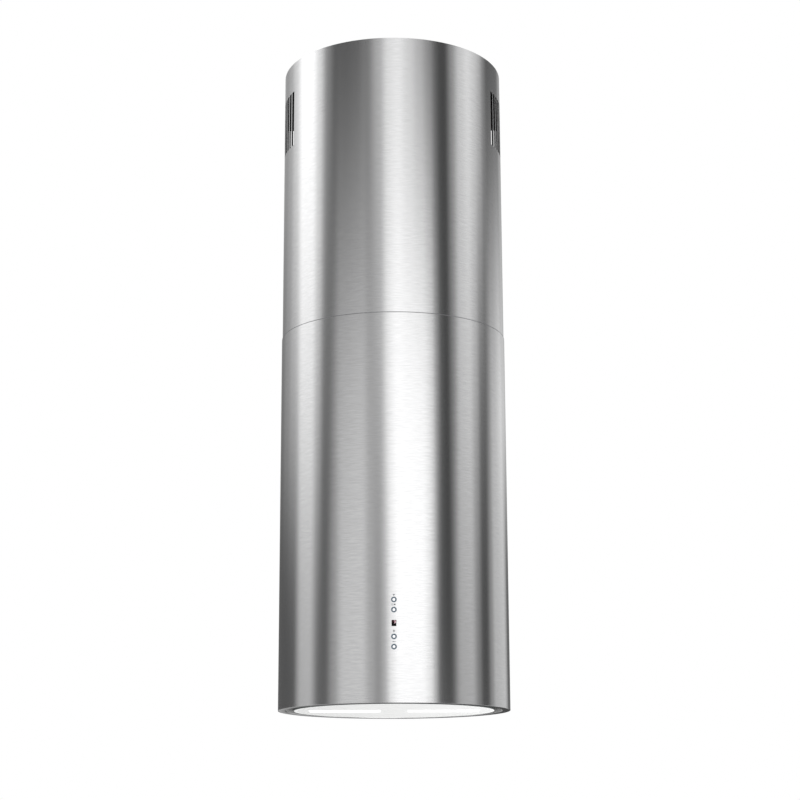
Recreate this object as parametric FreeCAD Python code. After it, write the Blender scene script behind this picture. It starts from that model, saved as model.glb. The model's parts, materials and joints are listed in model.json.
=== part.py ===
"""Island range hood: a ceiling-hung cylinder with a telescoping chimney.

Units are millimetres. +Z is up, -Y is the side with the controls. The origin is the centre of
the ceiling plate's top face, so the whole hood hangs below z = 0.
"""
import FreeCAD, Part
import math
import os

# ---- driving dimensions -------------------------------------------------------------------
TOTAL_HEIGHT = 1015.0
SHELL_HEIGHT = 575.0
SHELL_RADIUS = 175.0
SHEET = 0.7
TUBE_GAP = 0.3
TUBE_OVERLAP = 110.0

TRAVEL_DOWN = 50.0
TRAVEL_UP = 150.0

SLOTS_PER_SIDE = 14
SLOT_PITCH_DEG = 3.8
SLOT_FOREMOST_DEG = 25.35
SLOT_WIDTH = 8.0
SLOT_TOP = -48.0
SLOT_BOTTOM = -138.0

PLATE_RADIUS = 168.0
PLATE_THICKNESS = 2.5
PLATE_HOLE_RADIUS = 80.0
ANCHOR_CIRCLE_RADIUS = 140.0
ANCHOR_HOLE_RADIUS = 4.5

DUCT_RADIUS = 74.5
RAIL_CORNER = 114.0
RAIL_LEG = 20.0
RAIL_SHEET = 1.5
RAIL_PLAY = 0.2
CLAMP_RADIUS = 3.0
CLAMP_HEIGHTS = (400.0, 500.0)

RING_INNER = 116.0
RING_OUTER = 173.6
RING_TOP = 62.0
RING_SHEET = 2.0

HOUSING_RADIUS = 142.0
HOUSING_TOP = 335.0

FAN_Y = -10.5
FAN_HEIGHT = 195.0
WHEEL_RADIUS = 76.0
WHEEL_INNER = 62.0
WHEEL_HALF_WIDTH = 46.0
BLADES = 30
SCROLL_RADIUS = 84.0
SCROLL_STEP = 7.0
SCROLL_WALL = 2.0
SCROLL_HALF_WIDTH = 55.0
SCROLL_TOP = 290.0
INLET_RADIUS = 66.0
SHAFT_RADIUS = 4.0
SHAFT_PLAY = 0.05

FLAP_RADIUS = 72.0
FLAP_AXIS_HEIGHT = 361.0
FLAP_ROD_RADIUS = 2.0

CONTROL_HEIGHT = 112.7
BUTTON_OFFSETS = (33.7, 19.2, -19.2, -33.7)
LIGHT_RING_RADIUS = 3.9
BUTTON_RADIUS = 2.0
DISPLAY_WIDTH = 6.6
DISPLAY_HEIGHT = 8.6

PANEL_RADIUS = 151.5
GLASS_THICKNESS = 4.0
LIP_INNER = 163.0
LENS_INNER_END = 20.5
LENS_OUTER_END = 128.0
LENS_DEPTH = 46.0
TRAY_RADIUS = 149.0
TRAY_TOP = 10.5
HINGE_X = 70.0
HINGE_Y = 113.0
HINGE_HEIGHT = 9.0
HINGE_PIN_RADIUS = 2.0
CATCH_X = 60.0
CATCH_Y = -125.0

# ---- derived dimensions -------------------------------------------------------------------
SHELL_INNER = SHELL_RADIUS - SHEET
CHIMNEY_RADIUS = SHELL_INNER - TUBE_GAP
CHIMNEY_INNER = CHIMNEY_RADIUS - SHEET
LOWER_CORNER = RAIL_CORNER - RAIL_SHEET - RAIL_PLAY
CLAMP_X = LOWER_CORNER - RAIL_LEG / 2
CORNERS = ((-1, -1), (1, -1), (1, 1), (-1, 1))

Vector = FreeCAD.Vector
X_AXIS = Vector(1, 0, 0)
Y_AXIS = Vector(0, 1, 0)
Z_AXIS = Vector(0, 0, 1)
ORIGIN = Vector(0, 0, 0)


# ---- helpers ------------------------------------------------------------------------------
def up(height):
    """z of a height measured up from the hood's bottom rim."""
    return height - TOTAL_HEIGHT


def box(x, y, z):
    """Box between the two values given for each axis."""
    low = [min(pair) for pair in (x, y, z)]
    size = [abs(pair[1] - pair[0]) for pair in (x, y, z)]
    return Part.makeBox(size[0], size[1], size[2], Vector(*low))


def disc(radius, z, x=0.0, y=0.0):
    return Part.makeCylinder(radius, abs(z[1] - z[0]), Vector(x, y, min(z)))


def ring(outer, inner, z, x=0.0, y=0.0):
    return disc(outer, z, x, y).cut(disc(inner, z, x, y))


def rod_x(radius, x, y, z):
    return Part.makeCylinder(radius, abs(x[1] - x[0]), Vector(min(x), y, z), X_AXIS)


def rod_y(radius, y, x, z):
    return Part.makeCylinder(radius, abs(y[1] - y[0]), Vector(x, min(y), z), Y_AXIS)


def hexagon(flats, z, x, y):
    """Hexagonal prism along Z, for nuts and bolt heads."""
    radius = flats / math.sqrt(3)
    corners = [
        Vector(x + radius * math.cos(k * math.pi / 3), y + radius * math.sin(k * math.pi / 3), min(z))
        for k in range(7)
    ]
    return Part.Face(Part.makePolygon(corners)).extrude(Z_AXIS * abs(z[1] - z[0]))


def hexagon_y(flats, y, x, z):
    """Hexagonal prism along Y."""
    prism = hexagon(flats, (0, abs(y[1] - y[0])), 0, 0)
    prism.rotate(ORIGIN, X_AXIS, -90)
    prism.translate(Vector(x, min(y), z))
    return prism


def fuse(shapes):
    """One solid from shapes that overlap or share a face."""
    return shapes[0].multiFuse(shapes[1:]).removeSplitter()


def turned(shape, degrees):
    """Copy turned about the hood's axis."""
    copy = shape.copy()
    copy.rotate(ORIGIN, Z_AXIS, degrees)
    return copy


def mirrored_x(shape):
    return shape.mirror(ORIGIN, X_AXIS)


def at_azimuth(shape, azimuth):
    """Turn a shape built on the +X side to an azimuth measured from the front (-Y)."""
    return turned(shape, azimuth - 90)


def each_corner(build):
    return Part.makeCompound([build(sx, sy) for sx, sy in CORNERS])


def both_sides(shape):
    return Part.makeCompound([shape, mirrored_x(shape)])


def revolved(points):
    """Solid of revolution about the hood's axis from (radius, z) points."""
    corners = [Vector(radius, 0, z) for radius, z in points]
    profile = Part.Face(Part.makePolygon(corners + corners[:1]))
    return profile.revolve(ORIGIN, Z_AXIS, 360)


# ---- ceiling group ------------------------------------------------------------------------
def ceiling_plate():
    plate = ring(PLATE_RADIUS, PLATE_HOLE_RADIUS, (-PLATE_THICKNESS, 0))
    tab_outer = CHIMNEY_INNER - 0.4
    tab_top = box((PLATE_RADIUS - 4, tab_outer), (-8, 8), (-PLATE_THICKNESS, 0))
    tab_leg = box((tab_outer - RAIL_SHEET, tab_outer), (-8, 8), (-24, 0))
    tab = tab_top.fuse(tab_leg)
    screw_hole = rod_x(2.0, (tab_outer - 4, tab_outer + 4), 0, -12)
    tabs = [at_azimuth(tab, 0)] + [at_azimuth(tab.cut(screw_hole), a) for a in (150, 210)]
    studs = [disc(CLAMP_RADIUS, (-14, 0), sx * 103, sy * 103) for sx, sy in CORNERS]
    anchors = [turned(disc(ANCHOR_HOLE_RADIUS, (-3, 1), ANCHOR_CIRCLE_RADIUS, 0), 90 * k)
               for k in range(4)]
    bracket_holes = [disc(2.1, (-3, 1), 0, sy * 87) for sy in (-1, 1)]
    return fuse([plate] + tabs + studs).cut(Part.makeCompound(anchors + bracket_holes))


def upper_rail(sx, sy):
    inner = RAIL_CORNER - RAIL_SHEET
    start = RAIL_CORNER - RAIL_LEG
    z = (up(330), -PLATE_THICKNESS)
    leg_a = box((sx * start, sx * RAIL_CORNER), (sy * inner, sy * RAIL_CORNER), z)
    leg_b = box((sx * inner, sx * RAIL_CORNER), (sy * start, sy * RAIL_CORNER), z)
    foot = box((sx * start, sx * inner), (sy * start, sy * inner),
               (-PLATE_THICKNESS - RAIL_SHEET, -PLATE_THICKNESS))
    slot_radius = CLAMP_RADIUS + 0.2
    slot_low = up(CLAMP_HEIGHTS[0] - TRAVEL_DOWN)
    slot_high = up(CLAMP_HEIGHTS[1] + TRAVEL_UP)
    y = (sy * 108, sy * 118)
    slot = box((sx * CLAMP_X - slot_radius, sx * CLAMP_X + slot_radius), y, (slot_low, slot_high))
    ends = [rod_y(slot_radius, y, sx * CLAMP_X, z_end) for z_end in (slot_low, slot_high)]
    stud_hole = disc(CLAMP_RADIUS + 0.2, (-6, 0), sx * 103, sy * 103)
    return fuse([leg_a, leg_b, foot]).cut(Part.makeCompound([slot, stud_hole] + ends))


def upper_rail_nut(sx, sy):
    z = (-PLATE_THICKNESS - RAIL_SHEET - 5, -PLATE_THICKNESS - RAIL_SHEET)
    nut = hexagon(10, z, sx * 103, sy * 103)
    return nut.cut(disc(CLAMP_RADIUS + 0.02, z, sx * 103, sy * 103))


def upper_chimney():
    tube = ring(CHIMNEY_RADIUS, CHIMNEY_INNER, (-TOTAL_HEIGHT + SHELL_HEIGHT - TUBE_OVERLAP, 0))
    slot = box((CHIMNEY_INNER - 5, CHIMNEY_RADIUS + 5), (-SLOT_WIDTH / 2, SLOT_WIDTH / 2),
               (SLOT_BOTTOM, SLOT_TOP))
    angles = [SLOT_FOREMOST_DEG - SLOT_PITCH_DEG * k for k in range(SLOTS_PER_SIDE)]
    slots = [turned(slot, -angle) for angle in angles]
    slots += [turned(slot, 180 + angle) for angle in angles]
    screw_hole = rod_x(2.1, (CHIMNEY_INNER - 5, CHIMNEY_RADIUS + 5), 0, -12)
    screw_holes = [at_azimuth(screw_hole, azimuth) for azimuth in (150, 210)]
    return tube.cut(Part.makeCompound(slots + screw_holes))


def air_deflector():
    """Box with a round inlet below and an outlet behind each group of vent slots."""
    half_width = 70.0
    half_length = 152.0
    top = -36.0
    bottom = -112.0
    wall = 2.0
    body = box((-half_length, half_length), (-half_width, half_width), (bottom, top))
    flange = box((half_length, half_length + wall), (-half_width - 4, half_width + 4),
                 (bottom - 34, top + 4))
    spigot = disc(DUCT_RADIUS, (bottom - 48, bottom))
    inside = box((-half_length - 9, half_length + 9), (wall - half_width, half_width - wall),
                 (bottom + wall, top - wall))
    bore = disc(DUCT_RADIUS - wall, (bottom - 49, bottom + wall + 1))
    bracket_holes = rod_y(1.9, (-90, 90), 0, -70)
    outer = fuse([body, flange, mirrored_x(flange), spigot])
    return outer.cut(Part.makeCompound([inside, bore, bracket_holes]))


def deflector_bracket(sy):
    foot = box((-12, 12), (sy * 71.5, sy * 94), (-4, -PLATE_THICKNESS))
    leg = box((-12, 12), (sy * 70, sy * 71.5), (-84, -PLATE_THICKNESS))
    holes = Part.makeCompound([disc(2.1, (-5, 0), 0, sy * 87), rod_y(2.1, (sy * 69, sy * 73), 0, -70)])
    return foot.fuse(leg).cut(holes)


def ceiling_screws():
    """Screws that hold the chimney and the deflector's brackets."""
    shank = rod_x(1.95, (CHIMNEY_INNER - 8, CHIMNEY_RADIUS), 0, -12)
    head = rod_x(4.0, (CHIMNEY_RADIUS, CHIMNEY_RADIUS + 2.2), 0, -12)
    chimney_screw = shank.fuse(head)
    screws = [at_azimuth(chimney_screw, azimuth) for azimuth in (150, 210)]
    for sy in (-1, 1):
        into_plate = disc(2.0, (-4, -0.5), 0, sy * 87).fuse(disc(4.0, (-6.5, -4), 0, sy * 87))
        into_body = rod_y(1.8, (sy * 66, sy * 71.5), 0, -70)
        body_head = rod_y(3.6, (sy * 71.5, sy * 73.7), 0, -70)
        screws += [into_plate, into_body.fuse(body_head)]
    return Part.makeCompound(screws)


def flexible_duct():
    """Corrugated foil duct between the damper collar and the deflector's spigot."""
    inner = 75.0
    skin = 1.2
    crest = 4.0
    cuff = 25.0
    pitch = 16.0
    low = up(352)
    high = -127.0
    ridges = int((high - low - 2 * cuff) / pitch)
    start = low + (high - low - ridges * pitch) / 2
    inside = [(inner, low), (inner, start)]
    outside = [(inner + skin, low), (inner + skin, start)]
    for k in range(ridges):
        base = start + k * pitch
        inside += [(inner + crest, base + pitch * 0.25), (inner + crest, base + pitch * 0.75),
                   (inner, base + pitch)]
        outside += [(inner + skin + crest, base + pitch * 0.25),
                    (inner + skin + crest, base + pitch * 0.75), (inner + skin, base + pitch)]
    return revolved(inside + [(inner, high), (inner + skin, high)] + outside[::-1])


def duct_clamp(z_middle):
    """Worm-drive hose band round the duct's cuff."""
    band = ring(77.1, 76.3, (z_middle - 5, z_middle + 5))
    block = box((-9, 9), (76.6, 83), (z_middle - 6, z_middle + 6))
    block = block.cut(disc(76.3, (z_middle - 7, z_middle + 7)))
    worm = rod_x(4.0, (-13, 15), 80.5, z_middle)
    return fuse([band, block, worm]).cut(disc(76.3, (z_middle - 7, z_middle + 7)))


# ---- hood body: shell and frame -----------------------------------------------------------
def control_cutouts(y):
    """Holes for the light rings and the display, between two y values."""
    rings = [rod_y(LIGHT_RING_RADIUS + 0.1, y, 0, up(CONTROL_HEIGHT + offset))
             for offset in BUTTON_OFFSETS]
    half_width = DISPLAY_WIDTH / 2 + 0.1
    half_height = DISPLAY_HEIGHT / 2 + 0.1
    window = box((-half_width, half_width), y,
                 (up(CONTROL_HEIGHT - half_height), up(CONTROL_HEIGHT + half_height)))
    return Part.makeCompound(rings + [window])


def lower_shell():
    tube = ring(SHELL_RADIUS, SHELL_INNER, (up(0), up(SHELL_HEIGHT)))
    return tube.cut(control_cutouts((-SHELL_RADIUS - 5, -SHELL_RADIUS + 5)))


def rim_lip():
    """Inward lip round the bottom of the shell, with a hem on each edge."""
    outer = SHELL_INNER - 0.05
    skin = 0.8
    return revolved([
        (outer, up(0)), (outer, up(25)), (outer - skin, up(25)), (outer - skin, up(skin)),
        (LIP_INNER + skin, up(skin)), (LIP_INNER + skin, up(12)), (LIP_INNER, up(12)),
        (LIP_INNER, up(0)),
    ])


def support_ring():
    """Annular carrier for rails, blower housing, filter, hinges and catches."""
    underside = RING_TOP - RING_SHEET
    plate = ring(RING_OUTER, RING_INNER, (up(underside), up(RING_TOP)))
    hooks = []
    for sx in (-1, 1):
        x = (sx * 30, sx * 42)
        hooks.append(box(x, (124.5, 126), (up(44), up(underside))))
        hooks.append(box(x, (114, 126), (up(44), up(45.5))))
    keeper = box((-16, 16), (-129, -127.5), (up(36), up(underside)))
    keeper = keeper.cut(box((-9, 9), (-130, -127), (up(38.5), up(43.5))))
    bolt_holes = [disc(2.6, (up(50), up(70)), sx * 106, sy * 106) for sx, sy in CORNERS]
    return fuse([plate, keeper] + hooks).cut(Part.makeCompound(bolt_holes))


def shell_brackets():
    leg = box((172, 173.5), (-10, 10), (up(RING_TOP), up(85)))
    foot = box((156, 172), (-10, 10), (up(RING_TOP), up(RING_TOP + 1.5)))
    bracket = leg.fuse(foot)
    return Part.makeCompound([at_azimuth(bracket, azimuth) for azimuth in (25, 155, 205, 335)])


def lower_rail(sx, sy):
    inner = LOWER_CORNER - RAIL_SHEET
    start = LOWER_CORNER - RAIL_LEG
    z = (up(RING_TOP), up(545))
    leg_a = box((sx * start, sx * LOWER_CORNER), (sy * inner, sy * LOWER_CORNER), z)
    leg_b = box((sx * inner, sx * LOWER_CORNER), (sy * start, sy * LOWER_CORNER), z)
    foot = box((sx * start, sx * inner), (sy * start, sy * inner), (up(RING_TOP), up(RING_TOP + 1.5)))
    foot = foot.cut(disc(HOUSING_RADIUS + 1, (up(RING_TOP - 1), up(RING_TOP + 5))))
    clamp_holes = [rod_y(CLAMP_RADIUS + 0.05, (sy * 108, sy * 114), sx * CLAMP_X, up(height))
                   for height in CLAMP_HEIGHTS]
    foot_hole = disc(2.6, (up(RING_TOP - 1), up(RING_TOP + 5)), sx * 106, sy * 106)
    return fuse([leg_a, leg_b, foot]).cut(Part.makeCompound(clamp_holes + [foot_hole]))


def rail_clamp(sx, sy):
    """Bolts through the upper rail's slot, with nuts inside the lower rail."""
    inner = LOWER_CORNER - RAIL_SHEET
    head_face = RAIL_CORNER + 0.1
    solids = []
    for height in CLAMP_HEIGHTS:
        x = sx * CLAMP_X
        shank = rod_y(CLAMP_RADIUS, (sy * (inner - 6), sy * head_face), x, up(height))
        head = hexagon_y(10, (sy * head_face, sy * (head_face + 4)), x, up(height))
        nut = hexagon_y(10, (sy * (inner - 4.5), sy * inner), x, up(height))
        bore = rod_y(CLAMP_RADIUS, (sy * (inner - 8), sy * (inner + 1)), x, up(height))
        solids += [shank.fuse(head), nut.cut(bore)]
    return Part.makeCompound(solids)


def rail_foot_bolt(sx, sy):
    x = sx * 106
    y = sy * 106
    foot_top = RING_TOP + 1.5
    shank = disc(2.5, (up(53), up(foot_top)), x, y)
    head = hexagon(8, (up(foot_top), up(foot_top + 3.5)), x, y)
    underside = RING_TOP - RING_SHEET
    nut = hexagon(8, (up(underside - 4), up(underside)), x, y)
    return Part.makeCompound([shank.fuse(head), nut.cut(disc(2.5, (up(50), up(61)), x, y))])


# ---- hood body: blower --------------------------------------------------------------------
def motor_housing():
    wall = ring(HOUSING_RADIUS, HOUSING_RADIUS - 1, (up(RING_TOP), up(HOUSING_TOP)))
    flange = ring(HOUSING_RADIUS, 120, (up(RING_TOP), up(RING_TOP + 1)))
    return wall.fuse(flange)


def housing_top_plate():
    return ring(HOUSING_RADIUS, 73, (up(HOUSING_TOP), up(HOUSING_TOP + 1.5)))


def scroll_region(grow, half_width, inner_wall_y):
    """Spiral chamber with its upward outlet: three quarter-turn arcs of growing radius."""
    centre_y = FAN_Y + SCROLL_STEP
    radii = [SCROLL_RADIUS + grow + SCROLL_STEP * k for k in range(3)]
    centres = [(FAN_Y, FAN_HEIGHT), (centre_y, FAN_HEIGHT), (centre_y, FAN_HEIGHT + SCROLL_STEP)]
    wall_angle = math.acos((inner_wall_y - FAN_Y) / radii[0])
    spans = [(wall_angle, math.pi), (math.pi, 1.5 * math.pi), (1.5 * math.pi, 2 * math.pi)]

    def point(k, angle):
        y, height = centres[k]
        return Vector(-half_width, y + radii[k] * math.cos(angle),
                      up(height + radii[k] * math.sin(angle)))

    edges = []
    for k, (start, end) in enumerate(spans):
        middle = (start + end) / 2
        edges.append(Part.Arc(point(k, start), point(k, middle), point(k, end)).toShape())
    first = point(0, wall_angle)
    last = point(2, 2 * math.pi)
    top_right = Vector(-half_width, last.y, up(SCROLL_TOP))
    top_left = Vector(-half_width, first.y, up(SCROLL_TOP))
    edges += [Part.makeLine(last, top_right), Part.makeLine(top_right, top_left),
              Part.makeLine(top_left, first)]
    return Part.Face(Part.Wire(edges)).extrude(X_AXIS * (2 * half_width))


def scroll_half(side):
    outer_half = SCROLL_HALF_WIDTH + SCROLL_WALL
    outer = scroll_region(SCROLL_WALL, outer_half, FAN_Y - SCROLL_WALL)
    chamber = scroll_region(0, SCROLL_HALF_WIDTH, FAN_Y)
    outlet_right = FAN_Y + SCROLL_STEP * 3 + SCROLL_RADIUS
    flange = box((-outer_half - 6, outer_half + 6), (FAN_Y - 8, outlet_right + 8),
                 (up(SCROLL_TOP - 2), up(SCROLL_TOP)))
    opening = box((-SCROLL_HALF_WIDTH, SCROLL_HALF_WIDTH), (FAN_Y, outlet_right),
                  (up(SCROLL_TOP - 20), up(SCROLL_TOP + 1)))
    inlet_lip = rod_x(INLET_RADIUS + 2, (-outer_half - 3, outer_half + 3), FAN_Y, up(FAN_HEIGHT))
    inlet = rod_x(INLET_RADIUS, (-outer_half - 9, outer_half + 9), FAN_Y, up(FAN_HEIGHT))
    casing = fuse([outer, flange, inlet_lip]).cut(Part.makeCompound([chamber]))
    casing = casing.cut(opening).cut(inlet)
    half = box((0, side * 200), (-200, 200), (up(60), up(330)))
    return casing.common(half)


def adaptor_loft(half_x, y, radius, z):
    """Ruled solid from a rectangle to a circle, joined corner to quarter point."""
    low, high = z
    corners = [Vector(half_x, y[1], low), Vector(-half_x, y[1], low),
               Vector(-half_x, y[0], low), Vector(half_x, y[0], low)]
    rectangle = Part.Wire([Part.makeLine(corners[k], corners[(k + 1) % 4]) for k in range(4)])

    def on_circle(degrees):
        angle = math.radians(degrees)
        return Vector(radius * math.cos(angle), radius * math.sin(angle), high)

    arcs = [Part.Arc(on_circle(45 + 90 * k), on_circle(90 + 90 * k), on_circle(135 + 90 * k)).toShape()
            for k in range(4)]
    return Part.makeLoft([rectangle, Part.Wire(arcs)], True, True)


def outlet_adaptor():
    outlet_right = FAN_Y + SCROLL_STEP * 3 + SCROLL_RADIUS
    z = (up(SCROLL_TOP), up(HOUSING_TOP))
    outer = adaptor_loft(SCROLL_HALF_WIDTH + 2, (FAN_Y - 2, outlet_right + 2), 75, z)
    inner = adaptor_loft(SCROLL_HALF_WIDTH, (FAN_Y, outlet_right), 73, z)
    low_flange = box((-SCROLL_HALF_WIDTH - 8, SCROLL_HALF_WIDTH + 8), (FAN_Y - 8, outlet_right + 8),
                     (up(SCROLL_TOP), up(SCROLL_TOP + 2)))
    top_flange = disc(84, (up(HOUSING_TOP - 2), up(HOUSING_TOP)))
    return outer.fuse(low_flange).fuse(top_flange).cut(inner)


def fan_axis_rod(radius, x):
    return rod_x(radius, x, FAN_Y, up(FAN_HEIGHT))


def motor_body():
    can = fan_axis_rod(38, (-58.5, -8))
    nose = fan_axis_rod(14, (-8, -3))
    bore = fan_axis_rod(5, (-60, 0))
    seats = [fan_axis_rod(11, (-10, -2)), fan_axis_rod(11, (-59, -51))]
    return can.fuse(nose).cut(Part.makeCompound([bore])).cut(Part.makeCompound(seats))


def motor_bearings():
    bearings = []
    for x in ((-10, -3), (-58, -51)):
        bearings.append(fan_axis_rod(11, x).cut(fan_axis_rod(SHAFT_RADIUS + SHAFT_PLAY, x)))
    return Part.makeCompound(bearings)


def motor_bracket():
    """Three-armed spider across the left inlet."""
    x = (-66, -63.5)
    plate = fan_axis_rod(30, x)
    spacers = fan_axis_rod(16, (-63.5, -58.5)).cut(fan_axis_rod(11, (-64, -58)))
    arms = []
    for k in range(3):
        arm = box(x, (FAN_Y - 6, FAN_Y + 6), (up(FAN_HEIGHT + 20), up(FAN_HEIGHT + 76)))
        arm.rotate(Vector(0, FAN_Y, up(FAN_HEIGHT)), X_AXIS, 120 * k + 30)
        arms.append(arm)
    return fuse([plate, spacers] + arms)


def motor_mounts():
    """Rubber buffers between the spider's arms and the scroll."""
    buffers = []
    for k in range(3):
        buffer = rod_x(5, (-63.5, -57), FAN_Y, up(FAN_HEIGHT + 74))
        buffer.rotate(Vector(0, FAN_Y, up(FAN_HEIGHT)), X_AXIS, 120 * k + 30)
        buffers.append(buffer)
    return Part.makeCompound(buffers)


def fan_blade(k, x):
    """One forward-curved blade of the wheel."""
    turn = 360.0 * k / BLADES

    def point(radius, degrees):
        angle = math.radians(degrees + turn)
        return Vector(min(x), FAN_Y + radius * math.cos(angle), up(FAN_HEIGHT + radius * math.sin(angle)))

    middle_radius = (WHEEL_RADIUS + WHEEL_INNER) / 2
    back = Part.Arc(point(WHEEL_INNER, 0), point(middle_radius, 1.5), point(WHEEL_RADIUS - 0.5, 7))
    front = Part.Arc(point(WHEEL_RADIUS - 0.5, 8), point(middle_radius, 2.6), point(WHEEL_INNER, 1.2))
    edges = [back.toShape(), Part.makeLine(point(WHEEL_RADIUS - 0.5, 7), point(WHEEL_RADIUS - 0.5, 8)),
             front.toShape(), Part.makeLine(point(WHEEL_INNER, 1.2), point(WHEEL_INNER, 0))]
    return Part.Face(Part.Wire(edges)).extrude(X_AXIS * abs(x[1] - x[0]))


def fan_wheel():
    rim = WHEEL_HALF_WIDTH
    hub_plate = fan_axis_rod(WHEEL_RADIUS, (-1, 1))
    boss = fan_axis_rod(10, (-1, 14))
    blades = [fan_blade(k, (-rim + 1, rim - 1)) for k in range(BLADES)]
    rims = []
    for side in (-1, 1):
        x = (side * (rim - 3), side * rim)
        rims.append(fan_axis_rod(WHEEL_RADIUS, x).cut(fan_axis_rod(WHEEL_RADIUS - 6, x)))
    wheel = hub_plate.multiFuse([boss] + rims + blades)
    return wheel.cut(fan_axis_rod(SHAFT_RADIUS, (-5, 20)))


def fan_shaft():
    return fan_axis_rod(SHAFT_RADIUS, (-57, 16))


def carbon_filter(side):
    outer_half = SCROLL_HALF_WIDTH + SCROLL_WALL
    skirt = fan_axis_rod(84, (side * 69, side * outer_half))
    skirt = skirt.cut(fan_axis_rod(81, (side * 69, side * outer_half)))
    body = fan_axis_rod(84, (side * 69, side * 92))
    grip = box((side * 92, side * 97), (FAN_Y - 30, FAN_Y + 30),
               (up(FAN_HEIGHT - 5), up(FAN_HEIGHT + 5)))
    return fuse([skirt, body, grip])


# ---- hood body: damper --------------------------------------------------------------------
def damper_collar():
    base = HOUSING_TOP + 1.5
    tube = ring(DUCT_RADIUS, DUCT_RADIUS - 1.6, (up(base), up(base + 48.5)))
    flange = ring(86, DUCT_RADIUS - 1.6, (up(base), up(base + 1.5)))
    ledge = ring(DUCT_RADIUS - 0.5, 70.4, (up(357), up(358.5)))
    rod_bore = rod_x(FLAP_ROD_RADIUS, (-80, 80), 0, up(FLAP_AXIS_HEIGHT))
    return fuse([tube, flange, ledge]).cut(rod_bore)


def damper_rod():
    return rod_x(FLAP_ROD_RADIUS, (-DUCT_RADIUS, DUCT_RADIUS), 0, up(FLAP_AXIS_HEIGHT))


def damper_flap(side):
    """Half disc with two knuckles on the rod; side is -1 for the front flap, 1 for the rear."""
    z = (up(358.6), up(359.6))
    half = box((-80, 80), (side * 3.8, side * 80), z)
    flap = disc(FLAP_RADIUS, z).common(half)
    spans = ((-50, -25.5), (0.5, 24.5)) if side < 0 else ((-24.5, -0.5), (25.5, 50))
    pieces = [flap]
    for span in spans:
        pieces.append(rod_x(3.4, span, 0, up(FLAP_AXIS_HEIGHT)))
        pieces.append(box(span, (side * 2.4, side * 4.4), z))
    bore = rod_x(FLAP_ROD_RADIUS + SHAFT_PLAY, (-80, 80), 0, up(FLAP_AXIS_HEIGHT))
    return fuse(pieces).cut(bore)


# ---- hood body: electrics -----------------------------------------------------------------
POWER_X = (-34, 34)
POWER_Z = (up(120), up(230))


def power_box():
    outer = box(POWER_X, (144, 167), POWER_Z)
    inner = box((-32, 32), (146, 168), (POWER_Z[0] + 2, POWER_Z[1] - 2))
    feet = [box((-5, 5), (142, 145), (up(height), up(height + 12))) for height in (130, 208)]
    gland_hole = disc(7.05, (POWER_Z[1] - 5, POWER_Z[1] + 5), 14, 157)
    return fuse([outer] + feet).cut(inner).cut(gland_hole)


def power_box_cover():
    return box(POWER_X, (167, 168.5), POWER_Z)


def power_board():
    board = box((-30, 30), (147, 148.6), (up(124), up(226)))
    relays = [box((6, 22), (148.6, 160), (up(h), up(h + 20))) for h in (130, 156, 182)]
    return fuse([board] + relays)


def run_capacitor():
    return disc(8, (up(132), up(190)), -16, 158)


def cable_gland():
    top = POWER_Z[1]
    thread = disc(7, (top - 8, top), 14, 157)
    collar = hexagon(18, (top, top + 5), 14, 157)
    dome = disc(8, (top + 5, top + 14), 14, 157)
    return fuse([thread, collar, dome]).cut(disc(3.6, (top - 10, top + 20), 14, 157))


def control_housing():
    z = (up(66), up(159))
    outer = box((-13, 13), (-173, -153), z)
    inner = box((-11.5, 11.5), (-170, -152), (z[0] + 1.5, z[1] - 1.5))
    return outer.cut(inner).cut(control_cutouts((-175, -169)))


def control_board():
    board = box((-11.2, 11.2), (-163, -161.4), (up(68), up(157)))
    switches = [rod_y(2.2, (-166.4, -163), 0, up(CONTROL_HEIGHT + offset))
                for offset in BUTTON_OFFSETS]
    return fuse([board] + switches)


def button_light_rings():
    rings = []
    for offset in BUTTON_OFFSETS:
        z = up(CONTROL_HEIGHT + offset)
        body = rod_y(LIGHT_RING_RADIUS, (-SHELL_RADIUS - 0.1, -169), 0, z)
        flange = rod_y(5.4, (-169.9, -169), 0, z)
        bore = rod_y(BUTTON_RADIUS + 0.2, (-180, -160), 0, z)
        rings.append(body.fuse(flange).cut(bore))
    return Part.makeCompound(rings)


def display_window():
    half_width = DISPLAY_WIDTH / 2
    half_height = DISPLAY_HEIGHT / 2
    return box((-half_width, half_width), (-SHELL_RADIUS - 0.05, -170.5),
               (up(CONTROL_HEIGHT - half_height), up(CONTROL_HEIGHT + half_height)))


def button(offset):
    z = up(CONTROL_HEIGHT + offset)
    cap = rod_y(BUTTON_RADIUS, (-SHELL_RADIUS - 0.15, -167.4), 0, z)
    flange = rod_y(3.9, (-168.4, -167.4), 0, z)
    return cap.fuse(flange)


# ---- hood body: grease filter -------------------------------------------------------------
def filter_frame():
    wall = ring(123, 121.5, (up(46), up(58)))
    low_lip = ring(123, 112, (up(46), up(47)))
    high_lip = ring(123, 112, (up(57), up(58)))
    return fuse([wall, low_lip, high_lip])


def filter_mesh():
    return disc(121.3, (up(47.1), up(56.9)))


def filter_handle():
    """Latch case and finger grip under the filter's front edge."""
    case = box((-22, 22), (-116, -84), (up(36), up(46)))
    channel = box((-15, 15), (-112, -88), (up(38.6), up(43.4)))
    mouth = box((-9, 9), (-120, -110), (up(38.6), up(43.4)))
    thumb_slot = box((-7, 7), (-108, -94), (up(30), up(40)))
    return case.cut(Part.makeCompound([channel, mouth, thumb_slot]))


def filter_latch():
    tongue = box((-8.5, 8.5), (-131, -111), (up(39), up(43)))
    slider = box((-14.5, 14.5), (-111.5, -97), (up(39), up(43)))
    thumb = box((-6, 6), (-107.5, -100), (up(33), up(39)))
    return fuse([tongue, slider, thumb])


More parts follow.
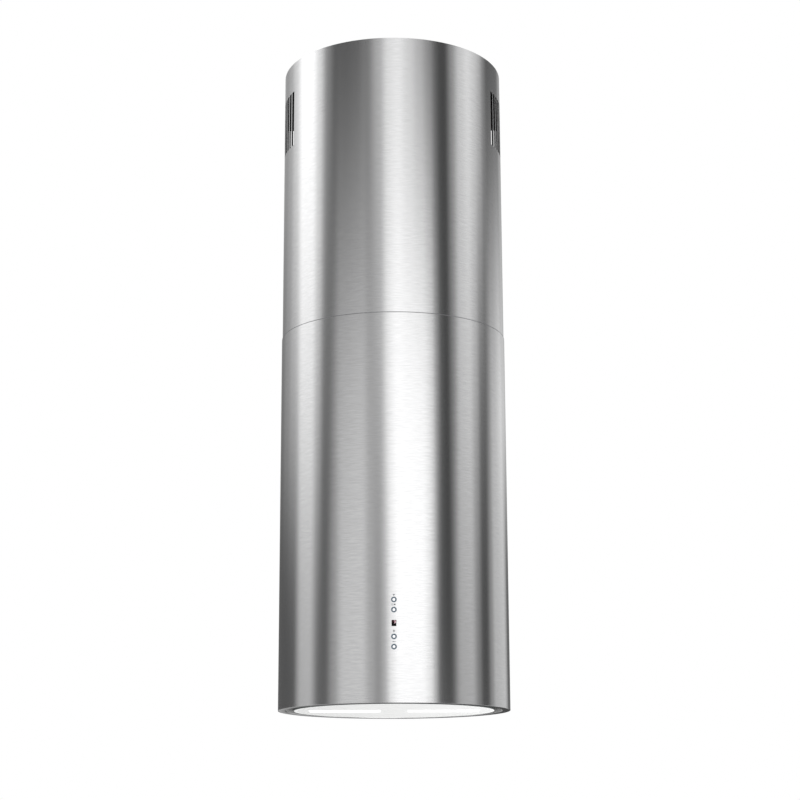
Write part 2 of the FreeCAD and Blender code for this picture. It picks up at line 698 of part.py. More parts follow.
# ---- hood body: hinges and catches --------------------------------------------------------
def hinge_bracket():
    """Two cheeks with a fixed pin between them, hung from the support ring."""
    half = 3.2
    cheeks = []
    for x in ((HINGE_X - 4.5, HINGE_X - 2.5), (HINGE_X + 2.5, HINGE_X + 4.5)):
        cheeks.append(rod_x(half, x, HINGE_Y, up(HINGE_HEIGHT)))
        cheeks.append(box(x, (HINGE_Y - half, HINGE_Y + half), (up(HINGE_HEIGHT), up(60))))
    foot = box((HINGE_X - 12, HINGE_X + 12), (HINGE_Y - half, HINGE_Y + 12), (up(58), up(60)))
    pin = rod_x(HINGE_PIN_RADIUS, (HINGE_X - 5.5, HINGE_X + 5.5), HINGE_Y, up(HINGE_HEIGHT))
    return fuse(cheeks + [foot, pin])


def catch_receiver():
    block = box((CATCH_X - 7, CATCH_X + 7), (CATCH_Y - 7, CATCH_Y + 7), (up(25), up(60)))
    return block.cut(disc(3.3, (up(24), up(36)), CATCH_X, CATCH_Y))


# ---- bottom panel -------------------------------------------------------------------------
def lens_block(margin, z):
    half_depth = LENS_DEPTH / 2 + margin
    return box((LENS_INNER_END - margin, LENS_OUTER_END + margin), (-half_depth, half_depth), z)


def glass_panel():
    glass = disc(PANEL_RADIUS, (up(0), up(GLASS_THICKNESS)))
    low_edge = [edge for edge in glass.Edges if edge.BoundBox.ZMax < up(0.1)]
    glass = glass.makeChamfer(0.8, low_edge)
    openings = lens_block(0.1, (up(-1), up(GLASS_THICKNESS + 1)))
    return glass.cut(both_sides(openings))


def panel_tray():
    floor = disc(TRAY_RADIUS, (up(GLASS_THICKNESS), up(GLASS_THICKNESS + 1)))
    wall = ring(TRAY_RADIUS, TRAY_RADIUS - 1, (up(GLASS_THICKNESS), up(TRAY_TOP)))
    window = lens_block(-2, (up(GLASS_THICKNESS - 1), up(GLASS_THICKNESS + 2)))
    return floor.fuse(wall).cut(both_sides(window))


def led_lens(side):
    lens = lens_block(0, (up(-0.5), up(GLASS_THICKNESS)))
    low_edges = [edge for edge in lens.Edges if edge.BoundBox.ZMax < up(-0.4)]
    lens = lens.makeFillet(0.4, low_edges)
    return lens if side > 0 else mirrored_x(lens)


def led_boards():
    top = GLASS_THICKNESS + 1
    half_depth = LENS_DEPTH / 2 - 0.5
    x = (LENS_INNER_END + 0.5, LENS_OUTER_END - 0.5)
    board = box(x, (-half_depth, half_depth), (up(top), up(top + 1.6)))
    chips = [box((x - 1.5, x + 1.5), (y - 1.5, y + 1.5), (up(top - 0.9), up(top)))
             for x in range(30, 125, 15) for y in (-12, 0, 12)]
    return both_sides(fuse([board] + chips))


def panel_hinge_arm():
    """Knuckle that stands on the tray and turns on the bracket's pin."""
    x = (HINGE_X - 2, HINGE_X + 2)
    floor = GLASS_THICKNESS + 1
    knuckle = rod_x(4, x, HINGE_Y, up(HINGE_HEIGHT))
    web = box(x, (HINGE_Y - 6, HINGE_Y + 4), (up(floor), up(HINGE_HEIGHT)))
    base = box(x, (HINGE_Y - 30, HINGE_Y + 4), (up(floor), up(floor + 1.5)))
    bore = rod_x(HINGE_PIN_RADIUS + SHAFT_PLAY, x, HINGE_Y, up(HINGE_HEIGHT))
    return fuse([knuckle, web, base]).cut(bore)


def catch_pin():
    floor = GLASS_THICKNESS + 1
    stem = disc(2.0, (up(floor), up(30)), CATCH_X, CATCH_Y)
    head = disc(2.5, (up(28), up(31)), CATCH_X, CATCH_Y)
    base = disc(6, (up(floor), up(floor + 2)), CATCH_X, CATCH_Y)
    return fuse([stem, head, base])


# ---- write one file per node --------------------------------------------------------------
NODES = {
    "ceiling_plate": ceiling_plate(),
    "upper_rails": each_corner(upper_rail),
    "upper_rail_nuts": each_corner(upper_rail_nut),
    "upper_chimney": upper_chimney(),
    "air_deflector": air_deflector(),
    "deflector_brackets": Part.makeCompound([deflector_bracket(sy) for sy in (-1, 1)]),
    "ceiling_screws": ceiling_screws(),
    "flexible_duct": flexible_duct(),
    "upper_duct_clamp": duct_clamp(-140),
    "lower_shell": lower_shell(),
    "rim_lip": rim_lip(),
    "support_ring": support_ring(),
    "shell_brackets": shell_brackets(),
    "lower_rails": each_corner(lower_rail),
    "rail_clamps": each_corner(rail_clamp),
    "rail_foot_bolts": each_corner(rail_foot_bolt),
    "motor_housing": motor_housing(),
    "housing_top_plate": housing_top_plate(),
    "scroll_left": scroll_half(-1),
    "scroll_right": scroll_half(1),
    "outlet_adaptor": outlet_adaptor(),
    "motor_body": motor_body(),
    "motor_bearings": motor_bearings(),
    "motor_bracket": motor_bracket(),
    "motor_mounts": motor_mounts(),
    "carbon_filter_left": carbon_filter(-1),
    "carbon_filter_right": carbon_filter(1),
    "damper_collar": damper_collar(),
    "damper_rod": damper_rod(),
    "lower_duct_clamp": duct_clamp(up(365)),
    "power_box": power_box(),
    "power_box_cover": power_box_cover(),
    "power_board": power_board(),
    "run_capacitor": run_capacitor(),
    "cable_gland": cable_gland(),
    "control_housing": control_housing(),
    "control_board": control_board(),
    "button_light_rings": button_light_rings(),
    "display_window": display_window(),
    "filter_frame": filter_frame(),
    "filter_mesh": filter_mesh(),
    "filter_handle": filter_handle(),
    "hinge_brackets": both_sides(hinge_bracket()),
    "catch_receivers": both_sides(catch_receiver()),
    "fan_wheel": fan_wheel(),
    "fan_shaft": fan_shaft(),
    "damper_flap_front": damper_flap(-1),
    "damper_flap_rear": damper_flap(1),
    "glass_panel": glass_panel(),
    "panel_tray": panel_tray(),
    "led_lens_left": led_lens(-1),
    "led_lens_right": led_lens(1),
    "led_boards": led_boards(),
    "panel_hinge_arms": both_sides(panel_hinge_arm()),
    "catch_pins": both_sides(catch_pin()),
    "filter_latch": filter_latch(),
}
for number, offset in enumerate(BUTTON_OFFSETS, start=1):
    NODES["button_%d" % number] = button(offset)

os.makedirs("parts", exist_ok=True)
for name, shape in NODES.items():
    shape.exportStep("parts/%s.step" % name)
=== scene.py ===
"""Looks of the island range hood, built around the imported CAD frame. Lengths are in metres."""
import json
import math

import bmesh
import bpy
from mathutils import Matrix, Vector


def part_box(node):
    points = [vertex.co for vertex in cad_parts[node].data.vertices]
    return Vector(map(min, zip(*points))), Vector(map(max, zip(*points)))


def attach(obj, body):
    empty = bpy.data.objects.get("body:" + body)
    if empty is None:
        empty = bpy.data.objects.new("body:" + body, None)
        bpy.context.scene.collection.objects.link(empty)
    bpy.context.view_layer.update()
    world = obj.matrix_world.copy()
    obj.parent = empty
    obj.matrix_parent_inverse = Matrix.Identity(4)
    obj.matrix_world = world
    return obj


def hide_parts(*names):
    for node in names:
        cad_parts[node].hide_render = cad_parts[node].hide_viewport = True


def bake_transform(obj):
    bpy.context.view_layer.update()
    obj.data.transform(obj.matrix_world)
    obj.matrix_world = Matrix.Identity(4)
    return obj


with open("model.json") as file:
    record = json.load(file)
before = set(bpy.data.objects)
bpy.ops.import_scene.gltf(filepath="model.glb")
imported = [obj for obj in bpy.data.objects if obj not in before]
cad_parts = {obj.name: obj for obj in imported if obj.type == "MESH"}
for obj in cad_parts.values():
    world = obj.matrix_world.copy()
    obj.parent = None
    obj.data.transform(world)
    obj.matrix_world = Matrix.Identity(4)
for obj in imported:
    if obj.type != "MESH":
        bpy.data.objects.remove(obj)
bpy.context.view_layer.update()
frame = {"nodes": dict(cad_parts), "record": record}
NODES = frame["nodes"]

# ---- sizes worked out from the frame --------------------------------------------------------
SHELL_LOW, SHELL_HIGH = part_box("lower_shell")
CHIMNEY_LOW, CHIMNEY_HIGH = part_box("upper_chimney")
SHELL_RADIUS = SHELL_HIGH.x
CHIMNEY_RADIUS = CHIMNEY_HIGH.x
BOTTOM = SHELL_LOW.z
SEAM = SHELL_HIGH.z

# ---- sizes that the frame doesn't give --------------------------------------------------------
DEGREE = math.radians(1.0)
SHEET = 0.0007
SLOT_WIDTH = 0.008
SLOT_TOP = -0.048
SLOT_BOTTOM = -0.138
SLOTS_PER_SIDE = 14
SLOT_PITCH = 3.8 * DEGREE
# How far forward of the hood's side the first slot stands.
SLOT_FOREMOST = 25.35 * DEGREE

SCREW_ANGLE = 150 * DEGREE
SCREW_HEIGHT = -0.012
SCREW_PORT_RADIUS = 0.0021
BUTTON_PORT_RADIUS = 0.00398
BUTTON_CAP_RADIUS = 0.002
BUTTON_CAP_DEPTH = 0.0045
RING_INNER_RADIUS = 0.0022
RING_OUTER_RADIUS = 0.0039
RING_DEPTH = 0.006
WINDOW_PLAY = 0.0001
SEAL_PLAY = 0.0001

# Printing on the shell: its thickness, and each mark's height above the rim.
PRINT_THICKNESS_MM = 0.03
LAMP_MARK_MM = 153.0
TIMER_MARK_MM = 139.3
PLUS_MARK_MM = 101.4
MINUS_MARK_MM = 86.1

LIP_RADIUS = 0.163
LIP_SHEET = 0.0008
LIP_FLANGE = 0.025
LIP_RETURN = 0.012

DUCT_RADIUS = 0.0752
DUCT_FOIL = 0.0006
DUCT_CUFF = 0.024
DUCT_RIDGES = 44

# Half the side of the square patch of quads round a port, and the loops between square and circle.
PORT_BLOCK = 0.006
PORT_LOOPS = 3

# ---- painted glow of the glass, and where the camera stands -------------------------------------
# Painted light on the glass panel: its glow from left to right, and the extra glow near its rim.
PAINTED_GLASS_GLOW = (0.05, 0.2)
PAINTED_RIM_GLOW = 0.12
LENS_LENGTH_MM = 84.35
CAMERA_DISTANCE = 2.8569
CAMERA_BELOW_RIM = 0.1969
CAMERA_YAW = 0.211 * DEGREE
CAMERA_PITCH = 13.368 * DEGREE
CAMERA_ROLL = -0.220 * DEGREE
FLOOR_BELOW_RIM = 1.7
FLOOR_HALF_SIDE = 400.0


# ---- node helpers ---------------------------------------------------------------------------
def new_material(name):
    """Empty material; returns it with its node tree and its Principled shader."""
    material = bpy.data.materials.new(name)
    material.use_nodes = True
    tree = material.node_tree
    return material, tree, tree.nodes["Principled BSDF"]


def add(tree, kind, values=None, **settings):
    """New node with its settings and the values of its named or numbered inputs."""
    node = tree.nodes.new(kind)
    for key, value in settings.items():
        setattr(node, key, value)
    for key, value in (values or {}).items():
        if isinstance(value, bpy.types.NodeSocket):
            tree.links.new(value, node.inputs[key])
        else:
            node.inputs[key].default_value = value
    return node


def maths(tree, operation, first, second=0.0):
    return add(tree, "ShaderNodeMath", {0: first, 1: second}, operation=operation).outputs[0]


def object_noise(tree, scale, detail=3.0, roughness=0.5):
    """Noise over object coordinates, stretched by a scale for each axis; returns its value."""
    place = add(tree, "ShaderNodeTexCoord").outputs["Object"]
    mapped = add(tree, "ShaderNodeMapping", {"Vector": place, "Scale": scale}).outputs[0]
    noise = add(tree, "ShaderNodeTexNoise",
                {"Vector": mapped, "Scale": 1.0, "Detail": detail, "Roughness": roughness})
    return noise.outputs[0]


def remap(tree, value, low, high, out_low, out_high):
    return add(tree, "ShaderNodeMapRange",
               {"Value": value, 1: low, 2: high, 3: out_low, 4: out_high}).outputs[0]


def tinted(tree, factor, first, second):
    """Colour between two colours by a factor."""
    mix = add(tree, "ShaderNodeMix", {"Factor": factor}, data_type="RGBA")
    mix.inputs["A"].default_value = (*first, 1.0)
    mix.inputs["B"].default_value = (*second, 1.0)
    return mix.outputs["Result"]


def bumped(tree, bsdf, height, strength, distance):
    bump = add(tree, "ShaderNodeBump", {"Height": height, "Strength": strength, "Distance": distance})
    tree.links.new(bump.outputs[0], bsdf.inputs["Normal"])


# ---- materials ------------------------------------------------------------------------------
def brushed_round(name, colour=0.62, roughness=0.17):
    """Stainless sheet brushed round the tube: fine rings of scratches, stretched highlights."""
    material, tree, bsdf = new_material(name)
    bsdf.inputs["Metallic"].default_value = 1.0
    bsdf.inputs["Anisotropic"].default_value = 0.85
    bsdf.inputs["Anisotropic Rotation"].default_value = 0.25
    tangent = add(tree, "ShaderNodeTangent", direction_type="RADIAL", axis="Z")
    tree.links.new(tangent.outputs[0], bsdf.inputs["Tangent"])
    hair = object_noise(tree, (5.0, 5.0, 2600.0), 4.0, 0.6)
    grain = object_noise(tree, (70.0, 70.0, 750.0), 2.0, 0.5)
    broad = maths(tree, "MULTIPLY", grain, 0.75)
    fine = maths(tree, "MULTIPLY", hair, 0.25)
    streaks = maths(tree, "ADD", broad, fine)
    shade = remap(tree, streaks, 0.3, 0.7, 0.0, 1.0)
    base = tinted(tree, shade, (colour * 0.94, colour * 0.94, colour * 0.945),
                  (colour * 1.05, colour * 1.05, colour * 1.055))
    tree.links.new(base, bsdf.inputs["Base Color"])
    rough = remap(tree, streaks, 0.3, 0.7, roughness * 1.04, roughness * 0.96)
    tree.links.new(rough, bsdf.inputs["Roughness"])
    bumped(tree, bsdf, hair, 0.02, 0.00005)
    return material


def mottled_metal(name, colour, roughness, scale=40.0, spread=0.06, metallic=1.0):
    """Metal with a soft haze in its colour and its roughness."""
    material, tree, bsdf = new_material(name)
    bsdf.inputs["Metallic"].default_value = metallic
    haze = object_noise(tree, (scale, scale, scale), 4.0)
    base = tinted(tree, haze, [c * (1 - spread) for c in colour], [c * (1 + spread) for c in colour])
    tree.links.new(base, bsdf.inputs["Base Color"])
    rough = remap(tree, haze, 0.3, 0.7, roughness * 0.85, roughness * 1.2)
    tree.links.new(rough, bsdf.inputs["Roughness"])
    return material, tree, bsdf


def galvanised(name):
    """Zinc coated sheet with its patchwork of crystals."""
    material, tree, bsdf = new_material(name)
    bsdf.inputs["Metallic"].default_value = 0.95
    place = add(tree, "ShaderNodeTexCoord").outputs["Object"]
    warp = add(tree, "ShaderNodeTexNoise", {"Vector": place, "Scale": 60.0, "Detail": 2.0})
    bent = add(tree, "ShaderNodeVectorMath", {0: warp.outputs["Color"], 1: (0.006, 0.006, 0.006)},
               operation="MULTIPLY").outputs[0]
    moved = add(tree, "ShaderNodeVectorMath", {0: place, 1: bent}, operation="ADD").outputs[0]
    crystal = add(tree, "ShaderNodeTexVoronoi", {"Vector": moved, "Scale": 95.0})
    tone = add(tree, "ShaderNodeSeparateColor", {0: crystal.outputs["Color"]}).outputs[0]
    base = tinted(tree, tone, (0.44, 0.46, 0.48), (0.62, 0.63, 0.65))
    tree.links.new(base, bsdf.inputs["Base Color"])
    tree.links.new(remap(tree, tone, 0.0, 1.0, 0.34, 0.5), bsdf.inputs["Roughness"])
    return material


def moulding(name, colour, roughness=0.5, grain=1800.0, depth=0.00004):
    """Plastic with a fine moulded grain."""
    material, tree, bsdf = new_material(name)
    speckle = object_noise(tree, (grain, grain, grain), 2.0)
    cloud = object_noise(tree, (12.0, 12.0, 12.0), 2.0)
    base = tinted(tree, cloud, [c * 0.94 for c in colour], [c * 1.05 for c in colour])
    tree.links.new(base, bsdf.inputs["Base Color"])
    tree.links.new(remap(tree, cloud, 0.3, 0.7, roughness * 0.9, roughness * 1.1),
                   bsdf.inputs["Roughness"])
    bumped(tree, bsdf, speckle, 0.35, depth)
    return material


def painted_shade_black(name):
    """Matt black that hardly reflects, used as painted shade."""
    material = moulding(name, (0.006, 0.006, 0.006), 0.9)
    bsdf = material.node_tree.nodes["Principled BSDF"]
    bsdf.inputs["Specular IOR Level"].default_value = 0.0
    return material


def glowing(name, colour, strength, roughness=0.3):
    """Plain surface that gives off a little light of its own colour."""
    material, _, bsdf = new_material(name)
    bsdf.inputs["Base Color"].default_value = (*colour, 1.0)
    bsdf.inputs["Roughness"].default_value = roughness
    bsdf.inputs["Emission Color"].default_value = (*colour, 1.0)
    bsdf.inputs["Emission Strength"].default_value = strength
    return material


def crinkled_foil(name):
    """Aluminium foil with fine creases."""
    material, tree, bsdf = mottled_metal(name, (0.80, 0.81, 0.82), 0.22, 60.0)
    bumped(tree, bsdf, object_noise(tree, (260.0, 260.0, 140.0), 4.0, 0.6), 0.6, 0.0006)
    return material


def cast_metal(name):
    """Die casting with a sandy skin."""
    material, tree, bsdf = mottled_metal(name, (0.56, 0.57, 0.58), 0.5, 90.0)
    bumped(tree, bsdf, object_noise(tree, (700.0, 700.0, 700.0), 3.0), 0.5, 0.0002)
    return material


def brushed_plain(name, colour, roughness):
    """Aluminium or steel with short straight scratches."""
    material, tree, bsdf = new_material(name)
    bsdf.inputs["Metallic"].default_value = 1.0
    grain = object_noise(tree, (40.0, 900.0, 900.0), 3.0)
    base = tinted(tree, grain, [c * 0.93 for c in colour], [c * 1.05 for c in colour])
    tree.links.new(base, bsdf.inputs["Base Color"])
    rough = remap(tree, grain, 0.3, 0.7, roughness * 0.85, roughness * 1.15)
    tree.links.new(rough, bsdf.inputs["Roughness"])
    return material


def perforated(name):
    """Cartridge wall full of small round holes over black granules."""
    material, tree, bsdf = new_material(name)
    place = add(tree, "ShaderNodeTexCoord").outputs["Object"]
    cell = add(tree, "ShaderNodeTexVoronoi", {"Vector": place, "Scale": 240.0, "Randomness": 0.0})
    wall = remap(tree, cell.outputs["Distance"], 0.26, 0.32, 0.0, 1.0)
    base = tinted(tree, wall, (0.012, 0.012, 0.012), (0.075, 0.075, 0.08))
    tree.links.new(base, bsdf.inputs["Base Color"])
    bsdf.inputs["Roughness"].default_value = 0.5
    bumped(tree, bsdf, wall, 0.5, 0.0006)
    return material


def circuit_board(name):
    """Green board with lighter tracks on a regular grid."""
    material, tree, bsdf = new_material(name)
    place = add(tree, "ShaderNodeTexCoord").outputs["Object"]
    turned = add(tree, "ShaderNodeMapping", {"Vector": place, "Rotation": (math.pi / 2, 0.0, 0.0)})
    tracks = add(tree, "ShaderNodeTexBrick", {"Vector": turned.outputs[0], "Scale": 160.0,
                                              "Mortar Size": 0.06, "Brick Width": 0.9})
    base = tinted(tree, tracks.outputs["Fac"], (0.02, 0.14, 0.06), (0.09, 0.30, 0.13))
    tree.links.new(base, bsdf.inputs["Base Color"])
    bsdf.inputs["Roughness"].default_value = 0.35
    return material


def white_glass(name):
    """Satin white glass with painted light: a glow that rises from left to right and grows near its rim,
    and its outer edge painted dark as shade.
    """
    material, tree, bsdf = new_material(name)
    low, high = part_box("glass_panel")
    place = add(tree, "ShaderNodeTexCoord").outputs["Object"]
    across, depth, _ = add(tree, "ShaderNodeSeparateXYZ", {0: place}).outputs
    square = maths(tree, "ADD", maths(tree, "MULTIPLY", across, across),
                   maths(tree, "MULTIPLY", depth, depth))
    radius = maths(tree, "SQRT", square)
    # Painted shade: the outermost rim of the glass is coloured dark, for the shaded gap beside it.
    edge_shade_painted = remap(tree, radius, high.x - 0.0009, high.x - 0.0007, 0.0, 1.0)
    # Painted light: extra glow near the rim of the glass.
    rim_glow_painted = remap(tree, radius, high.x - 0.006, high.x - 0.003, 0.0, PAINTED_RIM_GLOW)
    base = tinted(tree, edge_shade_painted, (0.88, 0.885, 0.885), (0.10, 0.11, 0.11))
    tree.links.new(base, bsdf.inputs["Base Color"])
    bsdf.inputs["Roughness"].default_value = 0.45
    bsdf.inputs["Specular IOR Level"].default_value = 0.3
    bsdf.inputs["Emission Color"].default_value = (1.0, 1.0, 1.0, 1.0)
    # Painted light: the glow rises from left to right across the panel.
    glass_glow_painted = remap(tree, across, low.x, high.x, PAINTED_GLASS_GLOW[0], PAINTED_GLASS_GLOW[1])
    glass_glow_painted = maths(tree, "ADD", glass_glow_painted, rim_glow_painted)
    glass_glow_painted = maths(tree, "MULTIPLY", glass_glow_painted, maths(tree, "SUBTRACT", 1.0, edge_shade_painted))
    tree.links.new(glass_glow_painted, bsdf.inputs["Emission Strength"])
    return material


def smoked_window(name):
    """Dark display window, reddish towards its top edge."""
    material, tree, bsdf = new_material(name)
    low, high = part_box("display_window")
    place = add(tree, "ShaderNodeTexCoord").outputs["Object"]
    level = add(tree, "ShaderNodeSeparateXYZ", {0: place}).outputs[2]
    rise = remap(tree, level, low.z + 0.004, high.z, 0.0, 1.0)
    base = tinted(tree, rise, (0.003, 0.002, 0.003), (0.05, 0.007, 0.014))
    tree.links.new(base, bsdf.inputs["Base Color"])
    bsdf.inputs["Roughness"].default_value = 0.2
    bsdf.inputs["Specular IOR Level"].default_value = 0.06
    return material


MATERIALS = {
    "brushed_shell": brushed_round("brushed_stainless"),
    "polished_lip": mottled_metal("polished_lip", (0.55, 0.55, 0.56), 0.12)[0],
    "galvanised_steel": galvanised("galvanised_sheet"),
    "zinc_fasteners": mottled_metal("bright_zinc", (0.64, 0.64, 0.61), 0.26, 300.0)[0],
    "white_plastic": moulding("white_moulding", (0.80, 0.80, 0.78), 0.42),
    "black_plastic": moulding("black_moulding", (0.03, 0.03, 0.033), 0.48),
    "grey_plastic": moulding("grey_moulding", (0.30, 0.31, 0.32), 0.46),
    "foil_duct": crinkled_foil("duct_foil"),
    "motor_casting": cast_metal("die_casting"),
    "bearing_steel": mottled_metal("ground_steel", (0.70, 0.70, 0.72), 0.12, 200.0)[0],
    "rubber_mount": moulding("moulded_rubber", (0.025, 0.025, 0.025), 0.75, 900.0),
    "carbon_cartridge": perforated("carbon_case"),
    "circuit_board": circuit_board("board_green"),
    "capacitor_case": moulding("capacitor_white", (0.80, 0.80, 0.79), 0.3),
    "filter_aluminium": brushed_plain("filter_aluminium", (0.74, 0.75, 0.76), 0.3),
    "button_steel": mottled_metal("turned_steel", (0.80, 0.80, 0.81), 0.22, 500.0)[0],
    "ring_light_guide": glowing("ring_guide", (0.09, 0.13, 0.17), 0.2, 0.35),
    "display_black": smoked_window("smoked_window"),
    "white_glass": white_glass("white_backed_glass"),
    "led_diffuser": glowing("lit_diffuser", (0.62, 0.62, 0.62), 1.1),
}


# ---- mesh helpers ---------------------------------------------------------------------------
def link_mesh(name, mesh):
    piece = bpy.data.objects.new(name, mesh)
    bpy.context.scene.collection.objects.link(piece)
    return piece


def made(name, mesh, smooth=False):
    """Object made from a finished bmesh."""
    data = bpy.data.meshes.new(name)
    mesh.to_mesh(data)
    mesh.free()
    if smooth:
        data.shade_smooth()
    return link_mesh(name, data)


def face_outwards(mesh):
    """Turns every face's normal to the outside."""
    bmesh.ops.recalc_face_normals(mesh, faces=list(mesh.faces))


def filled(hard, step):
    """Sorted values that include every hard one, with gaps divided to at most step."""
    values = []
    ordered = sorted(set(round(v, 9) for v in hard))
    for low, high in zip(ordered, ordered[1:]):
        count = max(1, math.ceil((high - low) / step - 1e-6))
        values += [low + (high - low) * k / count for k in range(count)]
    return values + [ordered[-1]]


def on_tube(radius, angle, z):
    """Point at an angle from the front (-Y), turning towards +X."""
    return Vector((radius * math.sin(angle), -radius * math.cos(angle), z))


def port_patch(mesh, grid, columns, rows, radius, port):
    """Quads from the square of grid points round a port to the port's circle."""
    angle, z, hole = port
    half = PORT_BLOCK / radius
    inside_i = [i for i, a in enumerate(columns) if abs(a - angle) <= half + 1e-6]
    inside_j = [j for j, level in enumerate(rows) if abs(level - z) <= PORT_BLOCK + 1e-6]
    i0, i1, j0, j1 = inside_i[0], inside_i[-1], inside_j[0], inside_j[-1]
    border = [(i, j0) for i in range(i0, i1)] + [(i1, j) for j in range(j0, j1)]
    border += [(i, j1) for i in range(i1, i0, -1)] + [(i0, j) for j in range(j1, j0, -1)]
    loop = [grid[key] for key in border]
    flat = [((columns[i] - angle) * radius, rows[j] - z) for i, j in border]
    for k in range(1, PORT_LOOPS + 1):
        share = k / PORT_LOOPS
        ring = []
        for u, v in flat:
            length = math.hypot(u, v)
            pull = 1 - share + share * hole / length
            ring.append(mesh.verts.new(on_tube(radius, angle + u * pull / radius, z + v * pull)))
        for n in range(len(loop)):
            m = (n + 1) % len(loop)
            mesh.faces.new((loop[n], loop[m], ring[m], ring[n]))
        loop = ring


def tube_skin(mesh, radius, columns, rows, slots, ports):
    """The tube's outer layer, with its slots and ports left open."""
    grid = {}
    count = len(columns)
    for i, angle in enumerate(columns):
        for j, z in enumerate(rows):
            grid[i, j] = mesh.verts.new(on_tube(radius, angle, z))
    for j in range(len(rows)):
        grid[count, j] = grid[0, j]
    closed = columns + [columns[0] + 2 * math.pi]
    for i in range(count):
        for j in range(len(rows) - 1):
            angle = (closed[i] + closed[i + 1]) / 2
            z = (rows[j] + rows[j + 1]) / 2
            in_slot = any(a0 < angle < a1 and z0 < z < z1 for a0, a1, z0, z1 in slots)
            in_port = any(abs(angle - a) < PORT_BLOCK / radius and abs(z - level) < PORT_BLOCK
                          for a, level, _ in ports)
            if not in_slot and not in_port:
                mesh.faces.new((grid[i, j], grid[i + 1, j], grid[i + 1, j + 1], grid[i, j + 1]))
    for port in ports:
        port_patch(mesh, grid, columns, rows, radius, port)


def sharp_edges(mesh):
    """Edges that turn by more than a radian."""
    return [e for e in mesh.edges if e.calc_face_angle(0.0) > 1.0]


def lies_at(edge, z):
    return all(abs(v.co.z - z) < 1e-6 for v in edge.verts)


def bevelled(mesh, edges, offset, segments):
    bmesh.ops.bevel(mesh, geom=edges, offset=offset, segments=segments, profile=0.5, affect="EDGES",
                    clamp_overlap=True)


def pierced_tube(name, radius, z_low, z_high, slots=(), ports=(), edge=0.00012, rim_edge=0.0003):
    """Thin tube with square slots and round ports, small rounds on every cut edge, true normals."""
    first = -math.pi
    angles = [first] + [a for slot in slots for a in slot[:2]]
    levels = [z_low, z_high] + [z for slot in slots for z in slot[2:]]
    for angle, z, _ in ports:
        angles += [angle + PORT_BLOCK / radius * k / 4 for k in range(-4, 5)]
        levels += [z + PORT_BLOCK * k / 4 for k in range(-4, 5)]
    columns = filled(angles + [first + 2 * math.pi], 1.25 * DEGREE)[:-1]
    rows = filled(levels, 0.04)
    mesh = bmesh.new()
    tube_skin(mesh, radius, columns, rows, slots, ports)
    for vert in [v for v in mesh.verts if not v.link_faces]:
        mesh.verts.remove(vert)
    outer = list(mesh.verts)
    outer_faces = list(mesh.faces)
    borders = [e for e in mesh.edges if len(e.link_faces) == 1]
    inner_of = {}
    for vert in outer:
        flat = Vector((vert.co.x, vert.co.y, 0.0))
        inner_of[vert] = mesh.verts.new(vert.co - flat.normalized() * SHEET)
    for face in outer_faces:
        mesh.faces.new([inner_of[v] for v in reversed(face.verts)])
    for border in borders:
        a, b = border.verts
        mesh.faces.new((a, b, inner_of[b], inner_of[a]))
    face_outwards(mesh)
    cut_edges = [e for e in sharp_edges(mesh) if not lies_at(e, z_low)]
    bevelled(mesh, cut_edges, edge, 2)
    rim_edges = [e for e in sharp_edges(mesh) if lies_at(e, z_low)]
    bevelled(mesh, rim_edges, rim_edge, 3)
    piece = made(name, mesh)
    round_normals(piece.data, radius)
    return piece


def round_normals(data, radius):
    """Exactly radial normals on the tube's two skins, averaged ones on its rounded edges."""
    data.shade_smooth()
    averaged = [Vector(v.normal) for v in data.vertices]
    normals = []
    for loop in data.loops:
        spot = data.vertices[loop.vertex_index].co
        radial = Vector((spot.x, spot.y, 0.0))
        distance = radial.length
        radial.normalize()
        if abs(distance - radius) < 2e-6:
            normals.append(radial)
        elif abs(distance - radius + SHEET) < 2e-6:
            normals.append(-radial)
        else:
            normals.append(averaged[loop.vertex_index])
    data.normals_split_custom_set(normals)


def lathe(name, profile, segments=192, axis="Z", centre=(0.0, 0.0, 0.0)):
    """Closed ring swept from a closed profile of (radius, height) points."""
    mesh = bmesh.new()
    rings = []
    for k in range(segments):
        turn = 2 * math.pi * k / segments
        ring = []
        for radius, height in profile:
            if axis == "Z":
                spot = (radius * math.sin(turn), -radius * math.cos(turn), height)
            else:
                spot = (radius * math.sin(turn), height, -radius * math.cos(turn))
            ring.append(mesh.verts.new(Vector(spot) + Vector(centre)))
        rings.append(ring)
    count = len(profile)
    for k in range(segments):
        here, after = rings[k], rings[(k + 1) % segments]
        for j in range(count):
            mesh.faces.new((here[j], after[j], after[(j + 1) % count], here[(j + 1) % count]))
    bmesh.ops.remove_doubles(mesh, verts=list(mesh.verts), dist=1e-7)
    face_outwards(mesh)
    return made(name, mesh, smooth=True)


def band(inner, outer, low, high):
    """Square profile of a ring."""
    return [(inner, low), (outer, low), (outer, high), (inner, high)]


def rounded(points, radius, steps=4):
    """Closed profile with its corners rounded; a radius may be given for each corner."""
    result = []
    count = len(points)
    radii = radius if isinstance(radius, (list, tuple)) else [radius] * count
    for k in range(count):
        corner = Vector(points[k])
        before = Vector(points[k - 1]) - corner
        after = Vector(points[(k + 1) % count]) - corner
        reach = min(radii[k], before.length * 0.49, after.length * 0.49)
        if reach <= 0:
            result.append(tuple(corner))
            continue
        start = corner + before.normalized() * reach
        end = corner + after.normalized() * reach
        for n in range(steps + 1):
            t = n / steps
            spot = start * (1 - t) ** 2 + corner * 2 * t * (1 - t) + end * t ** 2
            result.append(tuple(spot))
    return result


